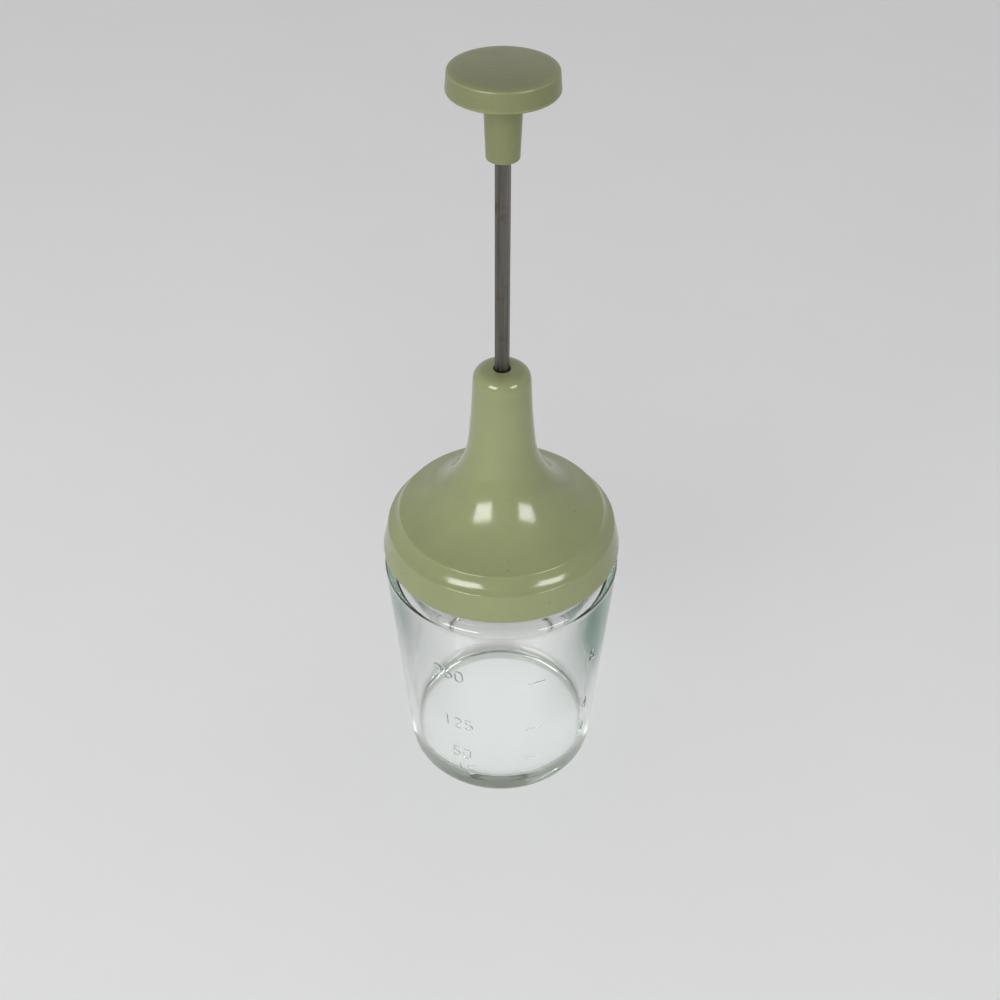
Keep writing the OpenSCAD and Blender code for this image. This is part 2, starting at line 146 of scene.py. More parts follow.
def rounded(corners, steps=6):
    """Points of a line through corners (radius, height, rounding)."""
    points = []
    for i, (r, z, rounding) in enumerate(corners):
        if not rounding or i in (0, len(corners) - 1):
            points.append((r, z))
            continue
        corner = Vector((r, z))
        back = (Vector(corners[i - 1][:2]) - corner).normalized()
        ahead = (Vector(corners[i + 1][:2]) - corner).normalized()
        half = back.angle(ahead) / 2
        centre = corner + (back + ahead).normalized() * rounding / math.sin(half)
        first = corner + back * rounding / math.tan(half) - centre
        last = corner + ahead * rounding / math.tan(half) - centre
        for k in range(steps + 1):
            point = centre + first.slerp(last, k / steps).normalized() * rounding
            points.append((point.x, point.y))
    return points


def bowed(first, last, depth, steps):
    """Points of a line that curves to its left by this depth."""
    start, end = Vector(first), Vector(last)
    along = end - start
    left = Vector((-along.y, along.x)).normalized()
    points = []
    for i in range(steps + 1):
        t = i / steps
        point = start + along * t + left * 4 * depth * t * (1 - t)
        points.append((point.x, point.y))
    return points


def start_line(name, point):
    """A new piece in edit mode: one selected vertex at a place in metres."""
    bpy.ops.object.select_all(action="DESELECT")
    bpy.ops.mesh.primitive_plane_add(size=MM, location=point)
    piece = bpy.context.object
    piece.name = name
    piece.data.name = name
    bpy.ops.object.mode_set(mode="EDIT")
    bpy.ops.mesh.select_all(action="SELECT")
    bpy.ops.mesh.merge(type="CENTER")
    return piece


def draw_line(points):
    """Extrudes the selected vertex from place to place, in metres."""
    for here, there in zip(points, points[1:]):
        step = tuple(b - a for a, b in zip(here, there))
        bpy.ops.mesh.extrude_vertices_move(TRANSFORM_OT_translate={"value": step})


def draw_profile(name, points, closed):
    """A line of points (radius, height) in edit mode, joined end to end if closed."""
    places = [(r * MM, 0, z * MM) for r, z in points]
    piece = start_line(name, places[0])
    draw_line(places)
    if closed:
        mesh = bmesh.from_edit_mesh(piece.data)
        for vert in mesh.verts:
            vert.select = len(vert.link_edges) == 1
        bmesh.update_edit_mesh(piece.data)
        bpy.ops.mesh.edge_face_add()
    return piece


def leave_edit():
    """Back to object mode, with the piece's place in its mesh."""
    bpy.ops.object.mode_set(mode="OBJECT")
    bpy.ops.object.transform_apply(location=True, rotation=True, scale=True)


def close_mesh():
    """Merges doubles and turns the faces outwards."""
    bpy.ops.mesh.select_all(action="SELECT")
    bpy.ops.mesh.remove_doubles(threshold=MERGE)
    bpy.ops.mesh.normals_make_consistent(inside=False)


def turned(name, points, closed):
    """A piece turned about the upright axis from its profile."""
    piece = draw_profile(name, points, closed)
    bpy.ops.mesh.select_all(action="SELECT")
    bpy.ops.mesh.spin(steps=SPIN_STEPS, angle=FULL_TURN, center=(0, 0, 0), axis=(0, 0, 1))
    close_mesh()
    leave_edit()
    return piece


def ridge(name, section, turn, angle, rise, steps, sink):
    """A ridge of this section, swept round the axis from a turn through an angle.
    Its ends sink into the wall by this share of the radius."""
    piece = draw_profile(name, section, closed=True)
    leave_edit()
    bpy.ops.object.modifier_add(type="SCREW")
    screw = piece.modifiers[-1]
    screw.angle = angle
    screw.screw_offset = rise
    screw.steps = steps
    screw.render_steps = steps
    bpy.ops.object.modifier_apply(modifier=screw.name)
    bpy.ops.object.mode_set(mode="EDIT")
    bpy.ops.mesh.select_all(action="SELECT")
    bpy.ops.mesh.fill_holes(sides=0)
    close_mesh()
    mesh = bmesh.from_edit_mesh(piece.data)
    for face in mesh.faces:
        face.select = len(face.verts) == len(section)
    bmesh.update_edit_mesh(piece.data)
    bpy.ops.transform.resize(value=(1 - sink, 1 - sink, 1), center_override=(0, 0, 0))
    bpy.ops.object.mode_set(mode="OBJECT")
    piece.rotation_euler.z = turn
    bpy.ops.object.transform_apply(location=True, rotation=True, scale=True)
    return piece


def tube(width):
    """Makes the active line a round wire."""
    bpy.ops.object.convert(target="CURVE")
    curve = bpy.context.object.data
    curve.bevel_depth = width / 2
    curve.bevel_resolution = 3
    curve.use_fill_caps = True
    bpy.ops.object.convert(target="MESH")
    bpy.ops.object.mode_set(mode="EDIT")
    close_mesh()
    leave_edit()
    return bpy.context.object


def pick(*pieces):
    """Selects these pieces alone; the first becomes the active one."""
    bpy.ops.object.select_all(action="DESELECT")
    for piece in pieces:
        piece.select_set(True)
    bpy.context.view_layer.objects.active = pieces[0]


def combine(piece, tool, operation):
    """Joins a tool to a piece or cuts it out, and removes the tool."""
    pick(piece)
    bpy.ops.object.modifier_add(type="BOOLEAN")
    boolean = piece.modifiers[-1]
    boolean.operation = operation
    boolean.solver = "EXACT"
    boolean.object = tool
    bpy.ops.object.modifier_apply(modifier=boolean.name)
    bpy.data.objects.remove(tool)


def dress(piece, body, slot, material, *nodes):
    """Shades a finished piece smooth, paints it and hangs it on its body."""
    pick(piece)
    bpy.ops.object.shade_smooth_by_angle(angle=SMOOTH_ANGLE)
    bpy.ops.object.modifier_add(type="WEIGHTED_NORMAL")
    weighted = piece.modifiers[-1]
    weighted.keep_sharp = True
    bpy.ops.object.modifier_apply(modifier=weighted.name)
    piece.data.materials.clear()
    piece.data.materials.append(material)
    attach(piece, body)
    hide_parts(*nodes)


def paint(node, material):
    """Gives a CAD node a better material."""
    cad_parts[node].material_slots[0].material = material


def link(tree, source, target):
    """Joins an output to an input."""
    tree.links.new(source, target)


def add_node(tree, kind, **inputs):
    """A node with some of its inputs set."""
    node = tree.nodes.new(kind)
    for name, value in inputs.items():
        node.inputs[name].default_value = value
    return node


def ramp(tree, source, low, high):
    """Turns values from low to high into 0 to 1."""
    node = add_node(tree, "ShaderNodeMapRange")
    node.inputs["From Min"].default_value = low
    node.inputs["From Max"].default_value = high
    link(tree, source, node.inputs["Value"])
    return node.outputs["Result"]


def math_node(tree, operation, *values):
    """A sum or product of values; each is an output or a number."""
    node = tree.nodes.new("ShaderNodeMath")
    node.operation = operation
    for socket, value in zip(node.inputs, values):
        if isinstance(value, (int, float)):
            socket.default_value = value
        else:
            link(tree, value, socket)
    return node.outputs[0]


def mix_colour(tree, factor, first, second):
    """A mix of two colours; each is an output or three numbers."""
    node = tree.nodes.new("ShaderNodeMix")
    node.data_type = "RGBA"
    link(tree, factor, node.inputs[0])
    for socket, value in ((node.inputs[6], first), (node.inputs[7], second)):
        if isinstance(value, tuple):
            socket.default_value = (*value, 1)
        else:
            link(tree, value, socket)
    return node.outputs[2]


def stretched(tree, vector, scale):
    """Coordinates with each axis scaled."""
    node = tree.nodes.new("ShaderNodeMapping")
    node.inputs["Scale"].default_value = scale
    link(tree, vector, node.inputs["Vector"])
    return node.outputs["Vector"]


def noise(tree, vector, scale, detail=3.0, roughness=0.5):
    """Noise as a value."""
    node = add_node(tree, "ShaderNodeTexNoise", Scale=scale, Detail=detail, Roughness=roughness)
    link(tree, vector, node.inputs["Vector"])
    return node.outputs[0]


def new_group(name, inputs, output):
    """A node group that takes a place and some values, and puts out one value."""
    tree = bpy.data.node_groups.new(name, "ShaderNodeTree")
    tree.interface.new_socket(name="Place", in_out="INPUT", socket_type="NodeSocketVector")
    for key, default in inputs.items():
        socket = tree.interface.new_socket(name=key, in_out="INPUT", socket_type="NodeSocketFloat")
        socket.default_value = default
    tree.interface.new_socket(name=output, in_out="OUTPUT", socket_type="NodeSocketFloat")
    return tree, tree.nodes.new("NodeGroupInput"), tree.nodes.new("NodeGroupOutput")


def specks_group():
    """Small round specks, scattered: 1 in a speck and 0 between."""
    tree, start, end = new_group("Specks", {"Scale": 300, "Size": 0.1, "Share": 0.2}, "Mask")
    cells = tree.nodes.new("ShaderNodeTexVoronoi")
    link(tree, start.outputs["Place"], cells.inputs["Vector"])
    link(tree, start.outputs["Scale"], cells.inputs["Scale"])
    near = math_node(tree, "LESS_THAN", cells.outputs["Distance"], start.outputs["Size"])
    split = tree.nodes.new("ShaderNodeSeparateColor")
    link(tree, cells.outputs["Color"], split.inputs[0])
    chosen = math_node(tree, "LESS_THAN", split.outputs[0], start.outputs["Share"])
    link(tree, math_node(tree, "MULTIPLY", near, chosen), end.inputs["Mask"])
    return tree


def scuffs_group():
    """Fine crossing scratches, in patches: 1 in a scratch and 0 between."""
    tree, start, end = new_group("Scuffs", {"Scale": 60, "Amount": 0.5}, "Mask")
    total = None
    for turn, long_way in ((20, (1, 34, 1)), (75, (30, 1, 1)), (130, (1, 1, 26))):
        mapping = tree.nodes.new("ShaderNodeMapping")
        mapping.inputs["Rotation"].default_value = (math.radians(turn), math.radians(turn / 2), 0.4)
        mapping.inputs["Scale"].default_value = long_way
        link(tree, start.outputs["Place"], mapping.inputs["Vector"])
        lines = add_node(tree, "ShaderNodeTexNoise", Detail=2.0)
        link(tree, mapping.outputs["Vector"], lines.inputs["Vector"])
        link(tree, start.outputs["Scale"], lines.inputs["Scale"])
        thin = ramp(tree, lines.outputs[0], 0.66, 0.72)
        total = thin if total is None else math_node(tree, "MAXIMUM", total, thin)
    patches = ramp(tree, noise(tree, start.outputs["Place"], 45, 2), 0.5, 0.7)
    masked = math_node(tree, "MULTIPLY", total, patches)
    link(tree, math_node(tree, "MULTIPLY", masked, start.outputs["Amount"]), end.inputs["Mask"])
    return tree


def rings_group():
    """Fine rings about the upright axis, as a lathe leaves them."""
    tree, start, end = new_group("Turned Rings", {"Scale": 900}, "Value")
    flat = tree.nodes.new("ShaderNodeVectorMath")
    flat.operation = "MULTIPLY"
    flat.inputs[1].default_value = (1, 1, 0)
    link(tree, start.outputs["Place"], flat.inputs[0])
    radius = tree.nodes.new("ShaderNodeVectorMath")
    radius.operation = "LENGTH"
    link(tree, flat.outputs[0], radius.inputs[0])
    lines = add_node(tree, "ShaderNodeTexNoise", Detail=4.0, Roughness=0.7)
    lines.noise_dimensions = "1D"
    link(tree, radius.outputs["Value"], lines.inputs["W"])
    link(tree, start.outputs["Scale"], lines.inputs["Scale"])
    link(tree, lines.outputs[0], end.inputs["Value"])
    return tree


def use_group(tree, group, place, **values):
    """Places a node group in a material and gives its output."""
    node = tree.nodes.new("ShaderNodeGroup")
    node.node_tree = group
    link(tree, place, node.inputs["Place"])
    for name, value in values.items():
        node.inputs[name].default_value = value
    return node.outputs[0]


def shared_group(name, maker):
    """A node group by name, made at its first use."""
    return bpy.data.node_groups.get(name) or maker()


def new_material(name, **inputs):
    """A material with its shader's plain inputs set: its tree, its shader and the place on the piece."""
    material = bpy.data.materials.new(name)
    material.use_nodes = True
    tree = material.node_tree
    shader = tree.nodes["Principled BSDF"]
    for key, value in inputs.items():
        shader.inputs[key.replace("_", " ")].default_value = value
    place = tree.nodes.new("ShaderNodeTexCoord").outputs["Object"]
    return material, tree, shader, place


def add_bump(tree, shader, height, strength, distance):
    """Bump from a height, on the shader's normal."""
    bump = add_node(tree, "ShaderNodeBump", Strength=strength, Distance=distance)
    link(tree, height, bump.inputs["Height"])
    link(tree, bump.outputs["Normal"], shader.inputs["Normal"])


def scaled(shade, factor):
    """A colour made lighter or darker."""
    return tuple(min(1, c * factor) for c in shade)


SPECK_SHADE = (0.05, 0.05, 0.03)
GRIME_SHADE = (0.09, 0.075, 0.035)
# How far from an edge the painted highlight ends, and how far off it is full, in metres
EDGE_HIGHLIGHT_REACH = (0.0005, 0.0001)


def green_plastic(name, shade, gloss, dull, speck_share, grime, highlit_edges=()):
    """Moulded plastic: cloudy colour, dark specks, scuffs, faint orange peel, and grime near its top.
    The grime has the heights where it starts and is full, and its strength. At the listed edge
    heights a paler line is painted in as a highlight."""
    material, tree, shader, place = new_material(name, IOR=1.52)
    clouds = ramp(tree, noise(tree, place, 38, 4, 0.6), 0.3, 0.7)
    body = mix_colour(tree, clouds, scaled(shade, 0.93), scaled(shade, 1.06))
    flecks = ramp(tree, noise(tree, place, 900, 2), 0.35, 0.65)
    body = mix_colour(tree, math_node(tree, "MULTIPLY", flecks, 0.12), body, scaled(shade, 0.8))
    specks = use_group(
        tree, shared_group("Specks", specks_group), place, Scale=420, Size=0.1, Share=speck_share)
    body = mix_colour(tree, math_node(tree, "MULTIPLY", specks, 0.8), body, SPECK_SHADE)
    split = tree.nodes.new("ShaderNodeSeparateXYZ")
    link(tree, place, split.inputs[0])
    patches = math_node(
        tree, "MULTIPLY_ADD", ramp(tree, noise(tree, place, 110, 4, 0.6), 0.3, 0.7), 0.5, 0.5)
    start_z, full_z, strength = grime
    worn = math_node(tree, "MULTIPLY", ramp(tree, split.outputs["Z"], start_z, full_z), patches)
    body = mix_colour(tree, math_node(tree, "MULTIPLY", worn, strength), body, GRIME_SHADE)
    # Painted highlight: a paler line along each listed edge
    for edge_z in highlit_edges:
        away = math_node(tree, "ABSOLUTE", math_node(tree, "SUBTRACT", split.outputs["Z"], edge_z))
        pale = math_node(
            tree, "MULTIPLY", ramp(tree, away, *EDGE_HIGHLIGHT_REACH),
            ramp(tree, noise(tree, place, 240, 3), 0.2, 0.6))
        body = mix_colour(tree, math_node(tree, "MULTIPLY", pale, 0.6), body, scaled(shade, 1.5))
    link(tree, body, shader.inputs["Base Color"])
    scuffs = use_group(
        tree, shared_group("Scuffs", scuffs_group), place, Scale=34, Amount=0.14)
    smears = ramp(tree, noise(tree, place, 60, 5, 0.65), 0.35, 0.75)
    rough = math_node(tree, "MULTIPLY_ADD", smears, dull - gloss, gloss)
    link(tree, math_node(tree, "MAXIMUM", rough, scuffs), shader.inputs["Roughness"])
    peel = noise(tree, place, 420, 2)
    height = math_node(tree, "SUBTRACT", peel, math_node(tree, "MULTIPLY", scuffs, 0.5))
    add_bump(tree, shader, height, 0.06, 0.0004)
    return material


# Where the glass is tinted, darkened by painted shade, or bright, from none to full, in metres
WALL_TINT_Z = (0.035, 0.085)
# Painted shade: the wall's edge tint deepens from left to right across these x values
WALL_SHADE_X = (-0.03, 0.03)
# Painted shade: the heel ring is greyed between these heights and radii
FOOT_SHADE_Z = (0.014, 0.009)
FOOT_SHADE_R = (0.0335, 0.0345)
# Painted shade: the shoulder under the lid is greyed from these heights up
SHOULDER_SHADE_Z = (0.0935, 0.0965)
BRIGHT_FLOOR_Z = (0.012, 0.0095)
BRIGHT_FLOOR_R = (0.0335, 0.032)
CLEAR_GLASS = (1.0, 1.0, 1.0)
# Colours of the painted shade at the foot and at the shoulder
FOOT_SHADE = (0.49, 0.475, 0.43)
SHOULDER_SHADE = (0.73, 0.72, 0.71)
WALL_LIGHT = (1.03, 1.03, 1.03)
FLOOR_LIGHT = (1.11, 1.11, 1.11)


def jar_glass(tint, density, edge_tint):
    """Clear moulded glass with faint ripples, green along its wall and deeper green on its right side as
    painted shade, with painted shade that greys it at its foot and at its shoulder under the lid. Light
    passes through it to what is behind, and gathers on what lies under its floor."""
    material, tree, shader, place = new_material(
        "jar_glass", Transmission_Weight=1.0, IOR=1.5)
    facing = add_node(tree, "ShaderNodeLayerWeight", Blend=0.5)
    split = tree.nodes.new("ShaderNodeSeparateXYZ")
    link(tree, place, split.inputs[0])
    thick = math_node(
        tree, "MULTIPLY", ramp(tree, facing.outputs["Facing"], 0.43, 0.76),
        ramp(tree, split.outputs["Z"], *WALL_TINT_Z))
    # Painted shade: the edge tint is stronger on the right side of the jar
    shaded = math_node(tree, "MULTIPLY_ADD", ramp(tree, split.outputs["X"], *WALL_SHADE_X), 0.7, 0.95)
    body = mix_colour(
        tree, math_node(tree, "MULTIPLY", thick, shaded), CLEAR_GLASS, tuple(edge_tint))
    square = math_node(
        tree, "ADD", math_node(tree, "MULTIPLY", split.outputs["X"], split.outputs["X"]),
        math_node(tree, "MULTIPLY", split.outputs["Y"], split.outputs["Y"]))
    # Painted shade greys the heel ring where the jar meets the floor
    base = math_node(
        tree, "MULTIPLY", ramp(tree, split.outputs["Z"], *FOOT_SHADE_Z),
        ramp(tree, square, *(r ** 2 for r in FOOT_SHADE_R)))
    body = mix_colour(tree, base, body, FOOT_SHADE)
    # Painted shade greys the shoulder under the lid
    body = mix_colour(tree, ramp(tree, split.outputs["Z"], *SHOULDER_SHADE_Z), body, SHOULDER_SHADE)
    link(tree, body, shader.inputs["Base Color"])
    smears = ramp(tree, noise(tree, place, 55, 4, 0.6), 0.55, 0.8)
    link(tree, math_node(tree, "MULTIPLY", smears, 0.06), shader.inputs["Roughness"])
    wide = noise(tree, stretched(tree, place, (1, 1, 0.45)), 45, 1)
    fine = noise(tree, stretched(tree, place, (1, 1, 0.3)), 260, 2)
    height = math_node(tree, "ADD", wide, math_node(tree, "MULTIPLY", fine, 0.05))
    add_bump(tree, shader, height, 0.12, 0.0012)
    output = tree.nodes["Material Output"]
    depth = add_node(tree, "ShaderNodeVolumeAbsorption", Density=density)
    depth.inputs["Color"].default_value = (*tint, 1)
    link(tree, depth.outputs["Volume"], output.inputs["Volume"])
    clear = tree.nodes.new("ShaderNodeBsdfTransparent")
    gathers = math_node(
        tree, "MULTIPLY", ramp(tree, split.outputs["Z"], *BRIGHT_FLOOR_Z),
        ramp(tree, square, *(r ** 2 for r in BRIGHT_FLOOR_R)))
    link(tree, mix_colour(tree, gathers, WALL_LIGHT, FLOOR_LIGHT), clear.inputs["Color"])
    rays = tree.nodes.new("ShaderNodeLightPath")
    mix = tree.nodes.new("ShaderNodeMixShader")
    straight = math_node(
        tree, "MAXIMUM", rays.outputs["Is Shadow Ray"], rays.outputs["Is Diffuse Ray"])
    link(tree, straight, mix.inputs[0])
    link(tree, shader.outputs[0], mix.inputs[1])
    link(tree, clear.outputs[0], mix.inputs[2])
    link(tree, mix.outputs[0], output.inputs["Surface"])
    return material


def drawn_steel(name, shade, gloss, dull, long_way, wear):
    """Steel with streaks along one way, and dull brown spots."""
    material, tree, shader, place = new_material(name, Metallic=1.0)
    streaks = ramp(tree, noise(tree, stretched(tree, place, long_way), 1, 5, 0.7), 0.3, 0.7)
    body = mix_colour(tree, streaks, scaled(shade, 0.55), scaled(shade, 1.5))
    spots = ramp(tree, noise(tree, place, 150, 5, 0.7), 0.58, 0.7)
    body = mix_colour(tree, math_node(tree, "MULTIPLY", spots, wear), body, (0.09, 0.06, 0.04))
    link(tree, body, shader.inputs["Base Color"])
    rough = math_node(tree, "MULTIPLY_ADD", streaks, dull - gloss, gloss)
    link(tree, rough, shader.inputs["Roughness"])
    add_bump(tree, shader, streaks, 0.25, 0.0002)
    return material


def spun_aluminium():
    """Pressed sheet with fine rings from its spinning."""
    material, tree, shader, place = new_material("spun_aluminium", Metallic=1.0)
    rings = use_group(tree, shared_group("Turned Rings", rings_group), place, Scale=1600)
    body = mix_colour(tree, ramp(tree, rings, 0.3, 0.7), (0.36, 0.37, 0.38), (0.52, 0.53, 0.54))
    cloud = ramp(tree, noise(tree, place, 70, 4), 0.45, 0.7)
    body = mix_colour(tree, math_node(tree, "MULTIPLY", cloud, 0.3), body, (0.3, 0.3, 0.29))
    link(tree, body, shader.inputs["Base Color"])
    rough = math_node(tree, "MULTIPLY_ADD", rings, 0.25, 0.22)
    link(tree, rough, shader.inputs["Roughness"])
    add_bump(tree, shader, rings, 0.15, 0.0002)
    return material


def dull_moulding(name, shade, gloss):
    """Rubber or nylon: cloudy colour, fine grain and wear."""
    material, tree, shader, place = new_material(name)
    clouds = ramp(tree, noise(tree, place, 120, 4), 0.3, 0.7)
    body = mix_colour(tree, clouds, scaled(shade, 0.88), scaled(shade, 1.08))
    scuffs = use_group(
        tree, shared_group("Scuffs", scuffs_group), place, Scale=90, Amount=0.5)
    body = mix_colour(tree, scuffs, body, scaled(shade, 1.4))
    link(tree, body, shader.inputs["Base Color"])
    link(tree, math_node(tree, "MULTIPLY_ADD", clouds, 0.15, gloss), shader.inputs["Roughness"])
    add_bump(tree, shader, noise(tree, place, 1500, 2), 0.15, 0.0002)
    return material


class JarShape:
    """Radii and heights of the jar, in millimetres."""
    base_r = 36.6
    top_r = 43.5
    shoulder_z = 96
    shoulder = 3
    neck_r = 38.2
    neck_z = 99.8
    lip = 0.8
    push_up = 1
    foot_r = 25.6
    foot_arch = 0.1
    rim_z = high_z("glass_jar")
    slope = (top_r - base_r) / shoulder_z
    wall_rows = range(8, 92, 4)
    inner_rows = range(88, 16, -4)
    # The throat, where the neck's bore opens into the shoulder
    throat_z = 98.2
    throat_round = 2.5
    throat_out = 2
    throat_up = 2.4
    inner_turn = 50
    floor_dip = 0.1
    # Points along each curve
    foot_steps = 12
    ring_steps = 6
    heel_steps = 14
    shoulder_steps = 12
    lip_steps = 6
    throat_steps = 8
    bowl_steps = 18

    @classmethod
    def wall_r(cls, z):
        """Outer radius of the wall at a height."""
        return cls.base_r + cls.slope * z

    @classmethod
    def level(cls, millilitres, wall, floor, heel):
        """Height that a volume fills the jar to: a cone on a floor with rounded corners."""
        floor_r = cls.wall_r(floor) - wall
        corner = 2 * math.pi * floor_r * heel ** 2 * (1 - math.pi / 4)
        cubes = floor_r ** 3 + 3 * cls.slope * (millilitres * 1000 + corner) / math.pi
        return floor + (cubes ** (1 / 3) - floor_r) / cls.slope


# The thread: one turn on the jar, one in the lid just under it
THREAD_LEAD = 4
THREAD_WIDTH = 1.8
THREAD_HEIGHT = 1.3
THREAD_STEPS = 72
THREAD_SINK = 0.05
THREAD_ROOT = 0.5
JAR_THREAD_Z = 105.2
LID_THREAD_Z = 105.25
LID_THREAD_TURN = math.radians(148.5)


def thread_section(wall, way, z):
    """Section of a thread ridge that stands out of a wall; way is 1 outwards and -1 inwards."""
    half = THREAD_WIDTH / 2
    root = wall - way * THREAD_ROOT
    tip = wall + way * THREAD_HEIGHT
    shoulder = wall + way * THREAD_HEIGHT * 0.8
    return [
        (root, z - half), (shoulder, z - half * 0.6), (tip, z - half * 0.35),
        (tip, z + half * 0.35), (shoulder, z + half * 0.6), (root, z + half)]


# Volume marks: the millilitres at the lines, and each number with its height and the angle of its left end
MARKS = (250, 125, 50, 15)
MARK_FROM = math.radians(14)
MARK_ANGLE = math.radians(9)
MARK_WIDTH = 0.8
MARK_ROOT = 0.5
MARK_STEPS = 6
NUMBERS = (
    ("250", 71.2, -36), ("125", 42.5, -33), ("50", 23.6, -29), ("15", 13.4, -27),
    ("8", 67, 54), ("4", 38, 54), ("2", 23, 54))
# Each digit's lines, open or closed, on a field 5 wide and 10 high
DIGIT_HEIGHT = 10
DIGIT_STEP = 7.6
DIGITS = {
    "0": ((arc((2.5, 7.5), 2.5, 0, 180, 8) + arc((2.5, 2.5), 2.5, 180, 360, 8), True),),
    "1": (([(2.5, 0), (2.5, 10)], False),),
    "2": ((arc((2.5, 7.4), 2.5, 165, -30, 8) + [(0.2, 0.1)], False), ([(0, 0), (5, 0)], False)),
    "4": (
        ([(3.7, 0), (3.7, 10)], False), ([(3.6, 9.8), (0.1, 3.3)], False),
        ([(0, 3.2), (5, 3.2)], False)),
    "5": (
        (arc((2.4, 3.1), 2.8, 125, -140, 9), False), ([(0.8, 9.9), (0.6, 5.2)], False),
        ([(0.6, 10), (4.6, 10)], False)),
    "8": ((arc((2.5, 7.7), 2.1, 0, 345, 14), True), (arc((2.5, 2.7), 2.5, 0, 345, 14), True)),
}


def moulded_number(text, z, turn, height, stroke, depth):
    """A number drawn in round lines and wrapped on the jar's outer wall, rooted in the glass."""
    unit = height / MM / DIGIT_HEIGHT
    digits = []
    for i, digit in enumerate(text):
        lines = []
        for points, closed in DIGITS[digit]:
            draw_profile("stroke", [((x + i * DIGIT_STEP) * unit, y * unit) for x, y in points], closed)
            leave_edit()
            lines.append(tube(stroke))
        for line in lines[1:]:
            combine(lines[0], line, "UNION")
        digits.append(lines[0])
    pick(*digits)
    bpy.ops.object.join()
    label = digits[0]
    for vert in label.data.vertices:
        across, back, up = vert.co
        high = z + (up - height / 2) / MM
        radius = JarShape.wall_r(high) * MM - back + depth - stroke / 2
        angle = turn + across / radius
        vert.co = (radius * math.sin(angle), -radius * math.cos(angle), high * MM)
    return label


class CHOPPER_OT_jar(bpy.types.Operator):
    """Model the glass jar with its thread, lines and numbers"""
    bl_idname = "chopper.jar"
    bl_label = "Glass Jar"

    def execute(self, context):
        jar = context.scene.chopper_jar
        wall, floor = jar.wall / MM, jar.floor / MM
        heel, bowl = jar.heel / MM, jar.bowl / MM
        shape = JarShape
        mouth_r = shape.neck_r - wall
        turn_z = shape.shoulder_z - wall / 2
        inner_r = shape.wall_r(turn_z) - wall - shape.shoulder
        heel_r = shape.wall_r(heel) - heel
        outer = []
        for i in range(shape.foot_steps):
            share = i / shape.foot_steps
            hollow = (shape.push_up - shape.foot_arch) * (1 - share ** 2) ** 2
            outer.append((share * shape.foot_r, shape.foot_arch + hollow))
        outer += bowed(
            (shape.foot_r, shape.foot_arch), (heel_r, shape.foot_arch), -shape.foot_arch,
            shape.ring_steps)[:-1]
        outer += arc((heel_r, heel + shape.foot_arch), heel, -90, 0, shape.heel_steps)
        outer += [(shape.wall_r(z), z) for z in shape.wall_rows]
        outer += arc(
            (shape.top_r - shape.shoulder, shape.shoulder_z), shape.shoulder, 0, 90, shape.shoulder_steps)
        lip, lip_z = shape.lip, shape.rim_z - shape.lip
        outer += arc((shape.neck_r + lip, shape.neck_z), lip, 270, 180, shape.lip_steps)
        outer += arc((shape.neck_r - lip, lip_z), lip, 0, 90, shape.lip_steps)
        inner = arc((mouth_r + lip, lip_z), lip, 90, 180, shape.lip_steps)
        throat = [
            (mouth_r, lip_z, 0), (mouth_r, shape.throat_z, shape.throat_round),
            (inner_r + shape.throat_out, turn_z + shape.throat_up, 0)]
        inner += rounded(throat, shape.throat_steps)[1:-1]
        inner += arc((inner_r, turn_z), shape.shoulder, shape.inner_turn, 0, shape.shoulder_steps)
        inner += [(shape.wall_r(z) - wall, z) for z in shape.inner_rows]
        corner = (shape.wall_r(floor + bowl) - wall - bowl, floor + bowl)
        inner += arc(corner, bowl, 0, -90, shape.bowl_steps)
        inner += [(corner[0] / 2, floor - shape.floor_dip), (0, floor)]
        piece = turned("jar", outer + inner, closed=False)

        thread = ridge(
            "jar_thread", thread_section(shape.neck_r, 1, JAR_THREAD_Z), 0, FULL_TURN,
            THREAD_LEAD * MM, THREAD_STEPS, THREAD_SINK)
        moulded = [thread]
        proud = jar.mark_depth / MM
        for millilitres in MARKS:
            z = shape.level(millilitres, wall, floor, heel)
            radius = shape.wall_r(z)
            section = [
                (radius - MARK_ROOT, z - MARK_WIDTH / 2), (radius, z - MARK_WIDTH / 2),
                (radius + proud, z - MARK_WIDTH / 4), (radius + proud, z + MARK_WIDTH / 4),
                (radius, z + MARK_WIDTH / 2), (radius - MARK_ROOT, z + MARK_WIDTH / 2)]
            turn = MARK_FROM - FULL_TURN / 4
            moulded.append(ridge("jar_line", section, turn, MARK_ANGLE, 0, MARK_STEPS, 0))
        for text, z, degrees in NUMBERS:
            moulded.append(moulded_number(
                text, z, math.radians(degrees), jar.number_height, jar.stroke, jar.mark_depth))
        pick(*moulded)
        bpy.ops.object.join()
        combine(piece, thread, "UNION")
        dress(piece, "jar", "glass", jar_glass(jar.tint, jar.tint_density, jar.edge_tint), "glass_jar")
        return {"FINISHED"}


